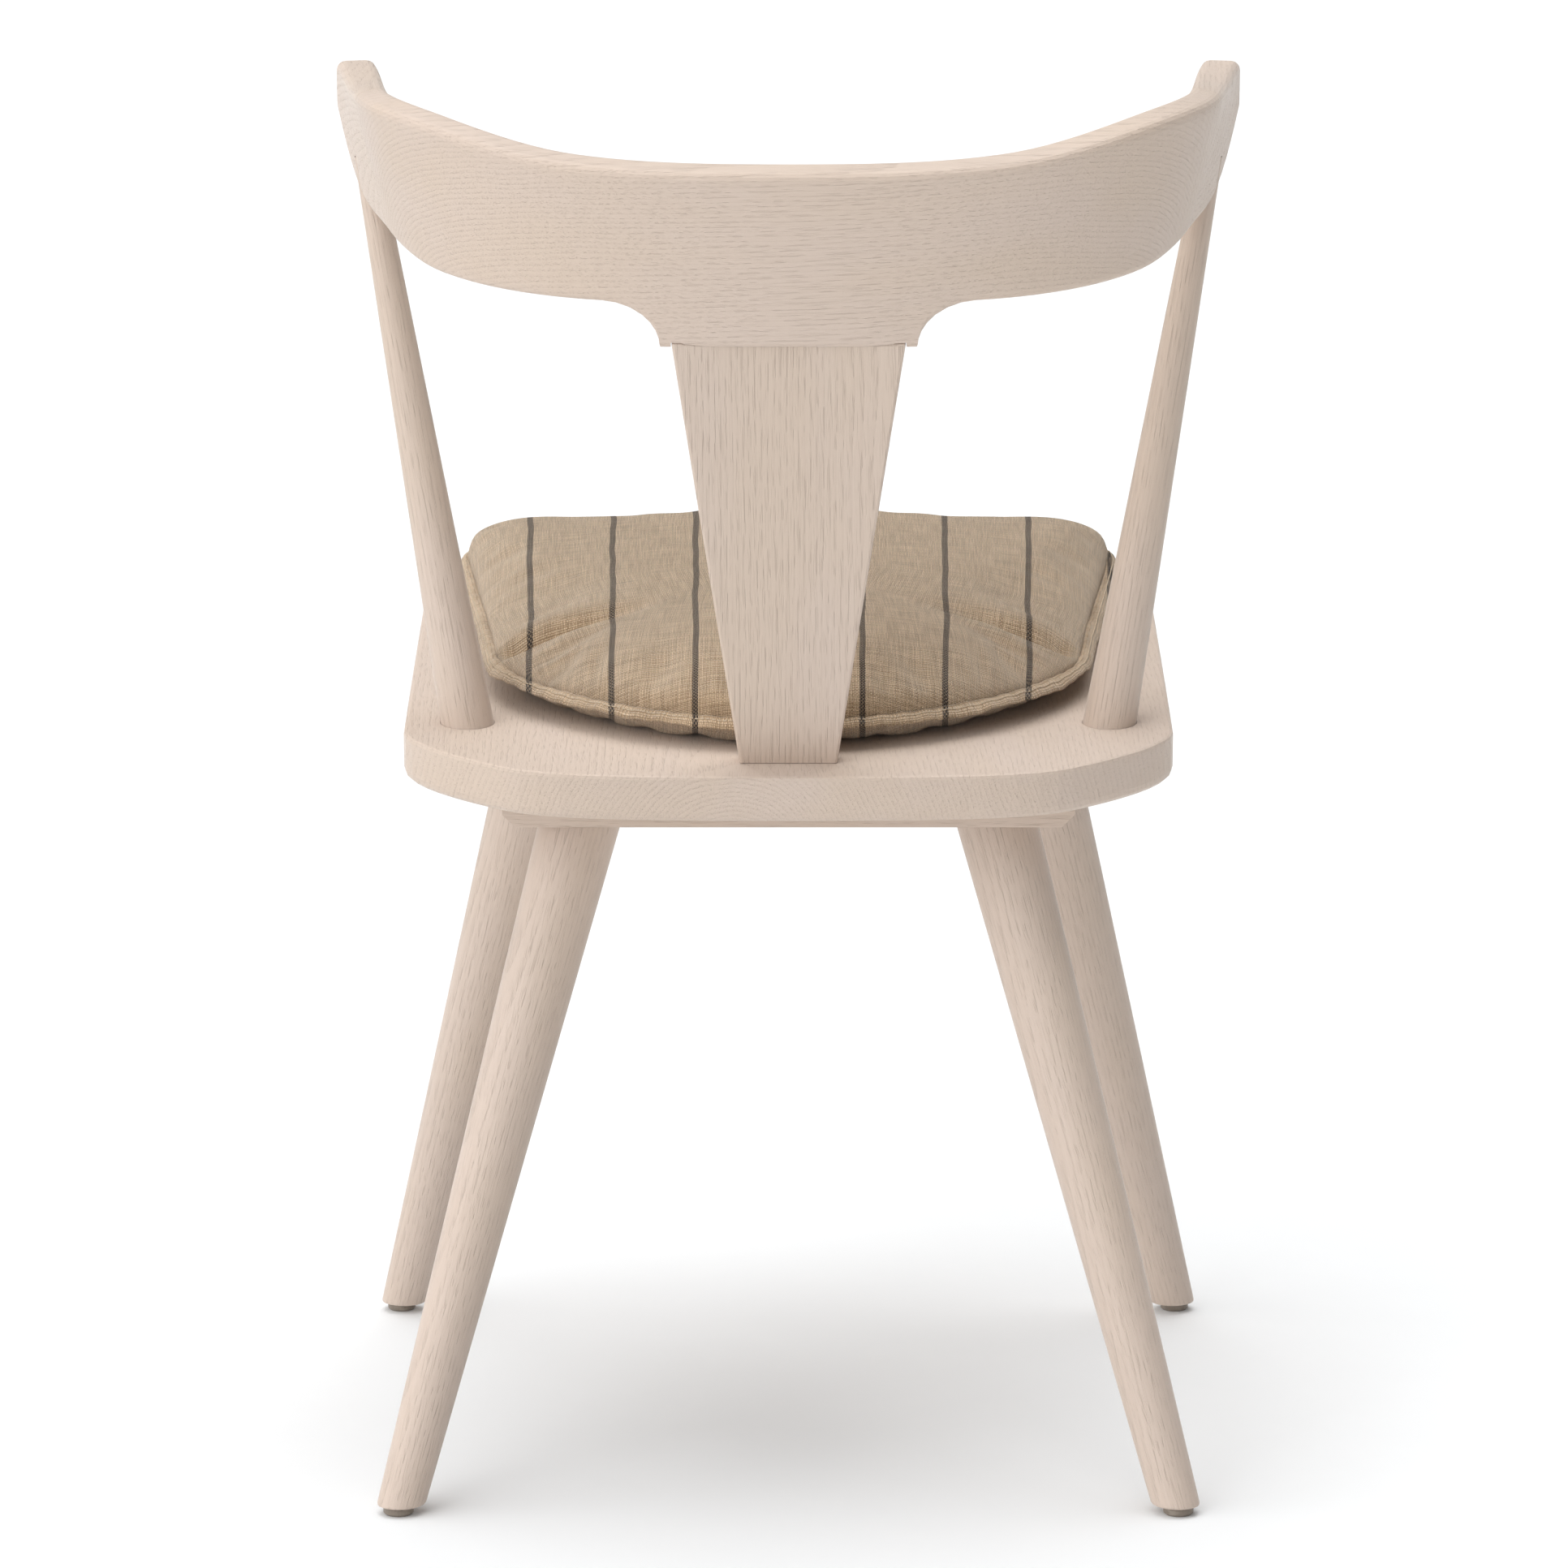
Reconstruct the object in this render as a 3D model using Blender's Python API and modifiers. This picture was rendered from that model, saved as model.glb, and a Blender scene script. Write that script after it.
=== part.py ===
"""Wooden armchair with a loose seat cushion.

Metres, +Z up.  The sitter faces -Y, so the back is at +Y and the sitter's left is at +X.
The origin is on the floor under the middle of the chair's overall box.
"""
import math

import bmesh
import bpy
from mathutils import Matrix, Vector
from mathutils.geometry import interpolate_bezier

# ---- driving dimensions ----
GAP = 0.0003                        # clearance between two pieces that touch
SEAT_RAKE = math.radians(5.5)       # the seat is higher at the front
SEAT_TOP_Z = 0.441                  # height of the seat's top face over the origin
SEAT_THICKNESS = 0.0277
SEAT_UNDER_EDGE = 0.0065            # roundover along the lower edge
BATTEN_THICKNESS = 0.018
BATTEN_DEPTH = 0.074
BATTEN_CHAMFER = 0.0075
BACK_LEAN = math.radians(15.0)      # splat and back rail lean backwards

LEG_FOOT_RADIUS = 0.0134
LEG_TOP_RADIUS = 0.0234
LEG_TENON_RADIUS = 0.0125
LEG_TENON_DEPTH = 0.013
GLIDE_RADIUS = 0.0087
GLIDE_HEIGHT = 0.005
NAIL_LENGTH = 0.018
NAIL_RADIUS = 0.0013
NAIL_HEAD_RADIUS = 0.0035
NAIL_HEAD_HEIGHT = 0.0016

POST_BASE_RADIUS = 0.0155
POST_TOP_RADIUS = 0.0079
POST_SOCKET = 0.012
POST_IN_ARM = 0.026
SCREW_RADIUS = 0.0022
SCREW_HEAD_RADIUS = 0.0045
SCREW_HEAD_HEIGHT = 0.003
BATTEN_SCREW_LENGTH = 0.038
POST_SCREW_LENGTH = 0.050

SPLAT_THICKNESS = 0.0155
SPLAT_HALF_BASE = 0.0280
SPLAT_HALF_TOP = 0.0655
SPLAT_INSET = 0.0042                # splat's rear face in front of the lug's rear face
SPLAT_HOUSING = 0.002               # how far the splat's head is let into the lug
TENON_THICKNESS = 0.008
TENON_LENGTH = 0.014

RAIL_EDGE = 0.0055
LUG_HALF_WIDTH = 0.0735
LUG_DROP = 0.026
LUG_FILLET = 0.033                  # reach of the fillet beside the lug
ARM_NOSE = 0.007
DOWEL_RADIUS = 0.004
DOWEL_HALF = 0.020

CUSHION_SEAM = 0.014                # height of the seam over the seat
CUSHION_CROWN = 0.064               # height of the top panel's middle over the seat
CUSHION_FLANGE = 0.96               # outline scale at the inner edge of the flange
COVER_THICKNESS = 0.0012
INSERT_CLEARANCE = 0.0036
INSERT_SCALE = 0.93

# places on the sitter's left; the right side mirrors them
REAR_FOOT = Vector((0.224, 0.246, 0.0))
REAR_LEG_TOP = Vector((0.1206, 0.113, 0.382))
FRONT_FOOT = Vector((0.245, -0.200, 0.0))
FRONT_LEG_TOP = Vector((0.1467, -0.114, 0.404))
POST_BASE = Vector((0.1877, 0.0868, 0.4326))
POST_TOP = Vector((0.2410, 0.0460, 0.7350))
REAR_BATTEN = {"middle": 0.1105, "half_length": 0.1655, "screws": (0.050, 0.151)}
FRONT_BATTEN = {"middle": -0.1135, "half_length": 0.1950, "screws": (0.050, 0.100)}
SIDES = (("left", 1.0), ("right", -1.0))

# half outlines: each corner is (point, handle before, handle after), from rear to front
SEAT_OUTLINE = (
    ((0.0, 0.201), (-0.090, 0.201), (0.090, 0.201)),
    ((0.163, 0.181), (0.140, 0.1975), (0.182, 0.1675)),
    ((0.2240, 0.105), (0.2230, 0.135), (0.2245, 0.060)),
    ((0.2255, -0.200), (0.2255, -0.130), (0.2255, -0.242)),
    ((0.160, -0.2645), (0.205, -0.2625), (0.120, -0.2665)),
    ((0.0, -0.268), (0.060, -0.268), (-0.060, -0.268)),
)
CUSHION_OUTLINE = (
    ((0.0, 0.152), (-0.085, 0.152), (0.085, 0.152)),
    ((0.181, 0.010), (0.174, 0.078), (0.1875, -0.060)),
    ((0.205, -0.215), (0.2015, -0.165), (0.2080, -0.258)),
    ((0.150, -0.253), (0.185, -0.255), (0.110, -0.252)),
    ((0.0, -0.250), (0.060, -0.250), (-0.060, -0.250)),
)
# plan of the rail's middle line: centre of the back, corner, arm tip
RAIL_BACK = ((0.0, 0.2495), (0.160, 0.2495), (0.2175, 0.178), (0.2300, 0.110))
RAIL_ARM = ((0.2300, 0.110), (0.2385, 0.066), (0.2475, 0.017), (0.2556, -0.026))
# along the rail from the centre: (share of the whole length, top z, bottom z, lean in degrees, thickness)
RAIL_STATIONS = (
    (0.00, 0.7760, 0.7020, 15.0, 0.0220),
    (0.28, 0.7800, 0.7015, 15.0, 0.0220),
    (0.50, 0.7987, 0.7090, 15.0, 0.0205),
    (0.66, 0.8045, 0.7230, 14.0, 0.0190),
    (0.83, 0.8045, 0.7385, 7.0, 0.0215),
    (1.00, 0.8095, 0.7820, 0.0, 0.0235),
)

OAK = ("oak", (0.64, 0.53, 0.44), 0.62, 0.0)
BEECH = ("beech", (0.60, 0.42, 0.25), 0.60, 0.0)
NYLON = ("nylon", (0.24, 0.19, 0.15), 0.50, 0.0)
STEEL = ("steel", (0.55, 0.55, 0.54), 0.35, 1.0)
LINEN = ("linen", (0.50, 0.38, 0.25), 0.90, 0.0)
FIBRE = ("fibre", (0.80, 0.80, 0.78), 0.95, 0.0)


# ---- scene, materials and objects ----
def clear_scene():
    for old in list(bpy.data.objects):
        bpy.data.objects.remove(old, do_unlink=True)


def new_collection(name):
    collection = bpy.data.collections.new(name)
    bpy.context.scene.collection.children.link(collection)
    return collection


def material(spec):
    name, colour, roughness, metallic = spec
    found = bpy.data.materials.get(name)
    if found:
        return found
    made = bpy.data.materials.new(name)
    made.use_nodes = True
    shader = made.node_tree.nodes["Principled BSDF"]
    shader.inputs["Base Color"].default_value = (*colour, 1.0)
    shader.inputs["Roughness"].default_value = roughness
    shader.inputs["Metallic"].default_value = metallic
    made.diffuse_color = (*colour, 1.0)
    return made


def add_object(name, mesh, spec, matrix=None):
    """A sub-part in the parts collection, or a cutter when it has no material."""
    thing = bpy.data.objects.new(name, mesh)
    if spec is None:
        CUTTERS.objects.link(thing)
        thing.hide_render = True
        thing.display_type = "WIRE"
    else:
        PARTS.objects.link(thing)
        mesh.materials.append(material(spec))
    if matrix is not None:
        thing.matrix_world = matrix
    return thing


def mesh_from(bm, name, smooth=True):
    bmesh.ops.recalc_face_normals(bm, faces=bm.faces)
    mesh = bpy.data.meshes.new(name)
    bm.to_mesh(mesh)
    bm.free()
    for face in mesh.polygons:
        face.use_smooth = smooth
    return mesh


def box(name, size, matrix, spec=None):
    """A box of the given size, centred on the matrix."""
    bm = bmesh.new()
    bmesh.ops.create_cube(bm, size=1.0, matrix=Matrix.Diagonal((*size, 1.0)))
    return add_object(name, mesh_from(bm, name, smooth=False), spec, matrix)


def rod(name, radius, low, high, matrix, spec=None, sides=32):
    """A round bar along the matrix's Z axis, from low to high."""
    bm = bmesh.new()
    middle = Matrix.Translation((0.0, 0.0, (low + high) / 2))
    bmesh.ops.create_cone(bm, cap_ends=True, segments=sides, radius1=radius, radius2=radius,
                          depth=high - low, matrix=middle)
    return add_object(name, mesh_from(bm, name), spec, matrix)


def turned(name, profile, matrix, spec, sides=48):
    """A turned piece: (radius, z) points from top to bottom, closed on the axis by a Screw."""
    mesh = bpy.data.meshes.new(name)
    points = [(radius, 0.0, z) for radius, z in profile]
    mesh.from_pydata(points, [(i, i + 1) for i in range(len(points) - 1)], [])
    piece = add_object(name, mesh, spec, matrix)
    screw = piece.modifiers.new("turn", "SCREW")
    screw.axis = "Z"
    screw.steps = sides
    screw.render_steps = sides
    screw.use_merge_vertices = True
    screw.merge_threshold = 0.00005
    screw.use_smooth_shade = True
    return piece


def combine(piece, other, operation):
    step = piece.modifiers.new(operation.lower(), "BOOLEAN")
    step.operation = operation
    step.solver = "EXACT"
    step.object = other


def cut(piece, other):
    combine(piece, other, "DIFFERENCE")


def soften(piece, width, segments=2, angle=35.0):
    bevel = piece.modifiers.new("soften", "BEVEL")
    bevel.width = width
    bevel.segments = segments
    bevel.limit_method = "ANGLE"
    bevel.angle_limit = math.radians(angle)


def along(start, end):
    """A frame at start whose Z axis points to end."""
    turn = (end - start).to_track_quat("Z", "Y").to_matrix().to_4x4()
    return Matrix.Translation(start) @ turn


def mirrored(point, sign):
    return Vector((point.x * sign, point.y, point.z))


# ---- reference frames ----
def seat_frame(x=0.0, y=0.0, z=0.0):
    """A place on the seat: x and y along its top face, z out of it."""
    tilt = Matrix.Rotation(-SEAT_RAKE, 4, "X")
    return Matrix.Translation((0.0, 0.0, SEAT_TOP_Z)) @ tilt @ Matrix.Translation((x, y, z))


def splat_frame():
    """The splat's rear face: origin on the seat, Z up the board, Y backwards out of it; and its length."""
    _, top, bottom, _, thickness = RAIL_STATIONS[0]
    wide = Vector((0.0, math.cos(BACK_LEAN), -math.sin(BACK_LEAN)))
    tall = Vector((0.0, math.sin(BACK_LEAN), math.cos(BACK_LEAN)))
    middle = Vector((0.0, RAIL_BACK[0][1], (top + bottom) / 2))
    middle += wide * (thickness / 2 - SPLAT_INSET)
    over_seat = middle.z - SEAT_TOP_Z + middle.y * math.tan(SEAT_RAKE)
    reach = over_seat / (tall.z + tall.y * math.tan(SEAT_RAKE))
    length = reach - ((top - bottom) / 2 + LUG_DROP) / math.cos(BACK_LEAN) + SPLAT_HOUSING
    frame = Matrix.Translation(middle - tall * reach) @ Matrix.Rotation(-BACK_LEAN, 4, "X")
    return frame, length


# ---- outlines ----
def outline_curve(name, half, thickness):
    """A flat closed Bezier outline, extruded to a slab whose middle is at z = 0."""
    curve = bpy.data.curves.new(name, "CURVE")
    curve.dimensions = "2D"
    curve.fill_mode = "BOTH"
    curve.extrude = thickness / 2
    curve.resolution_u = 9
    curve.render_resolution_u = 0
    spline = curve.splines.new("BEZIER")
    spline.use_cyclic_u = True
    right = list(half)
    left = [tuple((-x, y) for x, y in (point, after, before)) for point, before, after in half[-2:0:-1]]
    corners = right + left
    spline.bezier_points.add(len(corners) - 1)
    for knot, (point, before, after) in zip(spline.bezier_points, corners):
        knot.handle_left_type = "FREE"
        knot.handle_right_type = "FREE"
        knot.co = (*point, 0.0)
        knot.handle_left = (*before, 0.0)
        knot.handle_right = (*after, 0.0)
    return curve


def outline_points(half, steps=6):
    """The outline as a ring of plan points."""
    right = []
    for (start, _, leave), (end, arrive, _) in zip(half[:-1], half[1:]):
        run = interpolate_bezier(*(Vector((*p, 0.0)) for p in (start, leave, arrive, end)), steps + 1)
        right.extend(run[:-1])
    right.append(Vector((*half[-1][0], 0.0)))
    left = [Vector((-p.x, p.y, 0.0)) for p in right[-2:0:-1]]
    return right + left


# ---- seat and battens ----
def make_seat():
    curve = outline_curve("seat_outline", SEAT_OUTLINE, SEAT_THICKNESS)
    guide = bpy.data.objects.new("seat_outline", curve)
    CUTTERS.objects.link(guide)
    bpy.context.view_layer.update()
    flat = bpy.data.meshes.new_from_object(guide.evaluated_get(bpy.context.evaluated_depsgraph_get()))
    bpy.data.objects.remove(guide, do_unlink=True)

    bm = bmesh.new()
    bm.from_mesh(flat)
    bmesh.ops.remove_doubles(bm, verts=bm.verts, dist=0.00001)
    inner = [e for e in bm.edges if all(abs(f.normal.z) > 0.9 for f in e.link_faces)]
    bmesh.ops.dissolve_edges(bm, edges=inner)
    half = SEAT_THICKNESS / 2
    lower = [e for e in bm.edges if all(v.co.z < -half + 0.001 for v in e.verts)]
    bmesh.ops.bevel(bm, geom=lower, offset=SEAT_UNDER_EDGE, segments=3, profile=0.5, affect="EDGES")
    upper = [e for e in bm.edges if all(v.co.z > half - 0.001 for v in e.verts)]
    bmesh.ops.bevel(bm, geom=upper, offset=0.002, segments=2, profile=0.5, affect="EDGES")
    return add_object("seat", mesh_from(bm, "seat"), OAK, seat_frame(z=-half))


def make_batten(name, plan):
    middle = -SEAT_THICKNESS - GAP - BATTEN_THICKNESS / 2
    size = (2 * plan["half_length"], BATTEN_DEPTH, BATTEN_THICKNESS)
    batten = box(name, size, seat_frame(y=plan["middle"], z=middle), OAK)
    bm = bmesh.new()
    bm.from_mesh(batten.data)
    low = -BATTEN_THICKNESS / 2
    ends = [e for e in bm.edges if all(v.co.z < low + 0.001 for v in e.verts)
            and abs(e.verts[0].co.x - e.verts[1].co.x) < 0.001]
    bmesh.ops.bevel(bm, geom=ends, offset=BATTEN_CHAMFER, segments=1, affect="EDGES")
    bm.to_mesh(batten.data)
    bm.free()
    return batten


# ---- legs ----
def batten_underside():
    """A block above the battens' lower faces, which trims the tops of the legs."""
    low = -SEAT_THICKNESS - BATTEN_THICKNESS - 2 * GAP
    return box("leg_top_trim", (0.8, 0.8, 0.2), seat_frame(z=low + 0.1))


def floor_block():
    """A block from the floor to the tops of the glides, which trims the feet."""
    depth = 0.1
    middle = GLIDE_HEIGHT + GAP - depth / 2
    return box("foot_trim", (0.8, 0.8, depth), Matrix.Translation((0.0, 0.0, middle)))


def make_leg(name, foot, top, batten, trims):
    axis = along(foot, top)
    length = (top - foot).length
    spread = (LEG_TOP_RADIUS - LEG_FOOT_RADIUS) / length
    below = 0.02
    above = 0.03
    profile = (
        (0.0, length + above),
        (LEG_TOP_RADIUS + spread * above, length + above),
        (LEG_FOOT_RADIUS - spread * below, -below),
        (0.0, -below),
    )
    leg = turned(name, profile, axis, OAK)
    for trim in trims:
        cut(leg, trim)
    soften(leg, 0.0013)
    tip = length + LEG_TENON_DEPTH
    combine(leg, rod(f"{name}_tenon", LEG_TENON_RADIUS, length - 0.03, tip, axis), "UNION")
    cut(batten, rod(f"{name}_mortise", LEG_TENON_RADIUS + GAP, length - 0.03, tip + GAP, axis))
    hole_matrix = Matrix.Translation((foot.x, foot.y, 0.0))
    hole_depth = GLIDE_HEIGHT + NAIL_LENGTH
    cut(leg, rod(f"{name}_nail_hole", NAIL_RADIUS + GAP, 0.0, hole_depth, hole_matrix, sides=16))
    return leg


def make_glide(name, foot):
    recess = GLIDE_HEIGHT - NAIL_HEAD_HEIGHT - GAP
    radius = NAIL_HEAD_RADIUS + GAP
    profile = (
        (radius, GLIDE_HEIGHT),
        (GLIDE_RADIUS - 0.0008, GLIDE_HEIGHT),
        (GLIDE_RADIUS, GLIDE_HEIGHT - 0.0008),
        (GLIDE_RADIUS, 0.0012),
        (GLIDE_RADIUS - 0.0012, 0.0),
        (0.0, 0.0),
    )
    hollow = ((0.0, recess), (radius, recess))
    return turned(name, hollow + profile, Matrix.Translation((foot.x, foot.y, 0.0)), NYLON, sides=28)


def make_nail(name, foot):
    """A flat-headed nail that holds a glide: its head lies in the glide's recess."""
    profile = (
        (0.0, NAIL_LENGTH),
        (NAIL_RADIUS, NAIL_LENGTH - 3 * NAIL_RADIUS),
        (NAIL_RADIUS, NAIL_HEAD_HEIGHT),
        (NAIL_HEAD_RADIUS, NAIL_HEAD_HEIGHT),
        (NAIL_HEAD_RADIUS, 0.0),
        (0.0, 0.0),
    )
    start = Matrix.Translation((foot.x, foot.y, GLIDE_HEIGHT - NAIL_HEAD_HEIGHT))
    turned(name, profile, start, STEEL, sides=20)


def make_screw(name, length, matrix):
    """A countersunk wood screw, drawn without its thread: head at z = 0, shank upwards."""
    profile = (
        (0.0, length),
        (SCREW_RADIUS, length - 2 * SCREW_RADIUS),
        (SCREW_RADIUS, SCREW_HEAD_HEIGHT),
        (SCREW_HEAD_RADIUS, 0.0004),
        (SCREW_HEAD_RADIUS, 0.0),
        (0.0, 0.0),
    )
    turned(name, profile, matrix, STEEL, sides=20)


# ---- screws ----
def screw_cutter(name, length, matrix, reach=0.05):
    """The hole for one screw: clearance round the shank and a straight counterbore below the head."""
    hole = rod(f"{name}_hole", SCREW_RADIUS + GAP, 0.0, length + GAP, matrix, sides=20)
    sink = rod(f"{name}_sink", SCREW_HEAD_RADIUS + GAP, -reach, SCREW_HEAD_HEIGHT + GAP, matrix, sides=24)
    return hole, sink


def make_batten_screws(seat, battens):
    under = -SEAT_THICKNESS - GAP - BATTEN_THICKNESS
    for end, batten, plan in battens:
        for place, x in zip(("inner", "outer"), plan["screws"]):
            for side, sign in SIDES:
                matrix = seat_frame(x=x * sign, y=plan["middle"], z=under + 0.0015)
                name = f"{end}_batten_screw_{place}_{side}"
                hole, sink = screw_cutter(name, BATTEN_SCREW_LENGTH, matrix)
                cut(batten, hole)
                cut(batten, sink)
                cut(seat, hole)
                make_screw(name, BATTEN_SCREW_LENGTH, matrix)


# ---- posts ----
def make_posts(seat, arms):
    for side, sign in SIDES:
        base = mirrored(POST_BASE, sign)
        axis = along(base, mirrored(POST_TOP, sign))
        length = (POST_TOP - POST_BASE).length
        taper = (POST_BASE_RADIUS - POST_TOP_RADIUS) / length
        tip = length + POST_IN_ARM
        tip_radius = POST_TOP_RADIUS - taper * POST_IN_ARM
        foot_radius = POST_BASE_RADIUS + taper * POST_SOCKET
        profile = (
            (0.0, tip),
            (tip_radius - 0.001, tip),
            (tip_radius, tip - 0.001),
            (foot_radius, -POST_SOCKET),
            (0.0, -POST_SOCKET),
        )
        name = f"post_{side}"
        post = turned(name, profile, axis, OAK)
        clear = [(radius + GAP if radius > 0 else 0.0, z) for radius, z in profile]
        socket = turned(f"{name}_socket", spread_ends(clear), axis, None)
        cut(seat, socket)
        cut(arms[side], socket)

        start = -SEAT_THICKNESS + 0.004
        matrix = axis @ Matrix.Translation((0.0, 0.0, start))
        hole, sink = screw_cutter(f"{name}_screw", POST_SCREW_LENGTH, matrix)
        cut(seat, hole)
        cut(seat, sink)
        cut(post, hole)
        make_screw(f"post_screw_{side}", POST_SCREW_LENGTH, matrix)


def spread_ends(profile):
    """Move the two end faces of a turned cutter outwards by the clearance."""
    top = profile[0][1]
    bottom = profile[-1][1]
    shifted = []
    for radius, z in profile:
        if abs(z - top) < 0.0015:
            z += GAP
        if abs(z - bottom) < 0.0001:
            z -= GAP
        shifted.append((radius, z))
    return shifted


# ---- back rail and arms ----
def rail_line(samples=60):
    """The rail's middle line in plan, with the distance along it from the centre of the back."""
    points = []
    for corners in (RAIL_BACK, RAIL_ARM):
        run = interpolate_bezier(*(Vector((*p, 0.0)) for p in corners), samples)
        points.extend(run if not points else run[1:])
    distance = [0.0]
    for before, after in zip(points, points[1:]):
        distance.append(distance[-1] + (after - before).length)
    return points, distance, distance[samples - 1]


def rail_at(line, s):
    """Plan point and tangent at distance s from the centre."""
    points, distance, _ = line
    index = 1
    while index < len(points) - 1 and distance[index] < s:
        index += 1
    share = (s - distance[index - 1]) / (distance[index] - distance[index - 1])
    before = points[max(index - 2, 0)]
    after = points[min(index + 1, len(points) - 1)]
    tangent = (after - before).normalized()
    if s <= 0.0:
        tangent = Vector((1.0, 0.0, 0.0))
    return points[index - 1].lerp(points[index], share), tangent


def station(share, column):
    """A rail dimension at a share of its length, on a smooth curve through the stations."""
    rows = RAIL_STATIONS
    index = 1
    while index < len(rows) - 1 and rows[index][0] < share:
        index += 1
    low, high = rows[index - 1], rows[index]
    before = rows[max(index - 2, 0)]
    after = rows[min(index + 1, len(rows) - 1)]
    width = high[0] - low[0]
    slope_low = (high[column] - before[column]) / (high[0] - before[0])
    slope_high = (after[column] - low[column]) / (after[0] - low[0])
    if index == 1:
        slope_low = 0.0
    t = (share - low[0]) / width
    rise = (2 * t ** 3 - 3 * t ** 2 + 1) * low[column] + (3 * t ** 2 - 2 * t ** 3) * high[column]
    return rise + width * ((t ** 3 - 2 * t ** 2 + t) * slope_low + (t ** 3 - t ** 2) * slope_high)


def lug_drop(s):
    """How far the rail's lower edge drops at the lug, with a concave fillet on each side."""
    past = (s - LUG_HALF_WIDTH) / LUG_FILLET
    if past <= 0.0:
        return LUG_DROP
    if past >= 1.0:
        return 0.0
    return LUG_DROP * (1.0 - math.sqrt(1.0 - (1.0 - past) ** 2))


def rounded_rectangle(width, height, radius, steps=4):
    """Corners of a rounded rectangle in (w, h), anticlockwise."""
    radius = min(radius, width / 2 - 0.0002, height / 2 - 0.0002)
    ring = []
    for quarter, (sx, sy) in enumerate(((1, 1), (-1, 1), (-1, -1), (1, -1))):
        for step in range(steps + 1):
            angle = math.radians(90.0 * (quarter + step / steps))
            ring.append((sx * (width / 2 - radius) + radius * math.cos(angle),
                         sy * (height / 2 - radius) + radius * math.sin(angle)))
    return ring


def rail_section(line, s, shrink=1.0):
    """One cross-section of the rail: rounded, as tall as the stations say, leaning outwards."""
    plan, tangent = rail_at(line, s)
    share = s / line[1][-1]
    top = station(share, 1)
    bottom = station(share, 2)
    lean = math.radians(station(share, 3))
    outward = Vector((-tangent.y, tangent.x, 0.0))
    up = Vector((0.0, 0.0, 1.0))
    tall = up * math.cos(lean) + outward * math.sin(lean)
    wide = outward * math.cos(lean) - up * math.sin(lean)
    height = (top - bottom) / math.cos(lean)
    middle = Vector((plan.x, plan.y, (top + bottom) / 2))
    drop = lug_drop(s) / math.cos(lean)
    middle -= tall * drop / 2
    ring = rounded_rectangle(station(share, 4) * shrink, (height + drop) * shrink, RAIL_EDGE)
    return [middle + wide * w + tall * h for w, h in ring]


def loft(name, rings, open_start=False):
    bm = bmesh.new()
    rows = [[bm.verts.new(point) for point in ring] for ring in rings]
    count = len(rows[0])
    for low, high in zip(rows, rows[1:]):
        for i in range(count):
            j = (i + 1) % count
            bm.faces.new((low[i], low[j], high[j], high[i]))
    if not open_start:
        bm.faces.new(reversed(rows[0]))
    bm.faces.new(rows[-1])
    return mesh_from(bm, name)


def spaced(start, end, step):
    count = max(1, round((end - start) / step))
    return [start + (end - start) * i / count for i in range(count + 1)]


def make_back_rail(line):
    """The bent band across the back, with the lug that holds the splat; ends at the arms."""
    corner = line[2]
    places = spaced(0.0, LUG_HALF_WIDTH, 0.014)
    arc = [1 - math.cos(math.radians(a)) for a in (8, 20, 32, 45, 60, 75, 90)]
    places += [LUG_HALF_WIDTH + LUG_FILLET * step for step in arc]
    places += spaced(LUG_HALF_WIDTH + LUG_FILLET, corner - GAP / 2, 0.010)[1:]
    mesh = loft("back_rail", [rail_section(line, s) for s in places], open_start=True)
    rail = add_object("back_rail", mesh, OAK)
    mirror = rail.modifiers.new("both sides", "MIRROR")
    mirror.use_axis = (True, False, False)
    mirror.merge_threshold = 0.00005
    return rail


def make_arms(line):
    """The two arm pieces, from the rail's corners forward to the rounded tips."""
    corner, end = line[2], line[1][-1]
    places = spaced(corner + GAP / 2, end - ARM_NOSE, 0.010)
    nose = [math.radians(angle) for angle in (18, 36, 54, 70, 82)]
    arms = {}
    for side, sign in SIDES:
        rings = [rail_section(line, s) for s in places]
        for angle in nose:
            shrink = 1.0 - 0.42 * (1.0 - math.cos(angle))
            rings.append(rail_section(line, end - ARM_NOSE * (1 - math.sin(angle)), shrink))
        rings = [[mirrored(point, sign) for point in ring] for ring in rings]
        arms[side] = add_object(f"arm_{side}", loft(f"arm_{side}", rings), OAK)
    return arms


def make_arm_dowels(line, rail, arms):
    """Two dowels across each joint between the back rail and an arm."""
    plan, tangent = rail_at(line, line[2])
    share = line[2] / line[1][-1]
    middle = Vector((plan.x, plan.y, (station(share, 1) + station(share, 2)) / 2))
    for side, sign in SIDES:
        for level, offset in (("lower", -0.017), ("upper", 0.017)):
            lean = math.radians(station(share, 3))
            outward = Vector((-tangent.y, tangent.x, 0.0))
            centre = middle + (Vector((0, 0, math.cos(lean))) + outward * math.sin(lean)) * offset
            start = mirrored(centre - tangent * DOWEL_HALF, sign)
            axis = along(start, mirrored(centre, sign))
            name = f"arm_dowel_{side}_{level}"
            hole = rod(f"{name}_hole", DOWEL_RADIUS + GAP, -GAP, 2 * DOWEL_HALF + GAP, axis, sides=20)
            cut(rail, hole)
            cut(arms[side], hole)
            rod(name, DOWEL_RADIUS, 0.0, 2 * DOWEL_HALF, axis, BEECH, sides=20)


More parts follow.
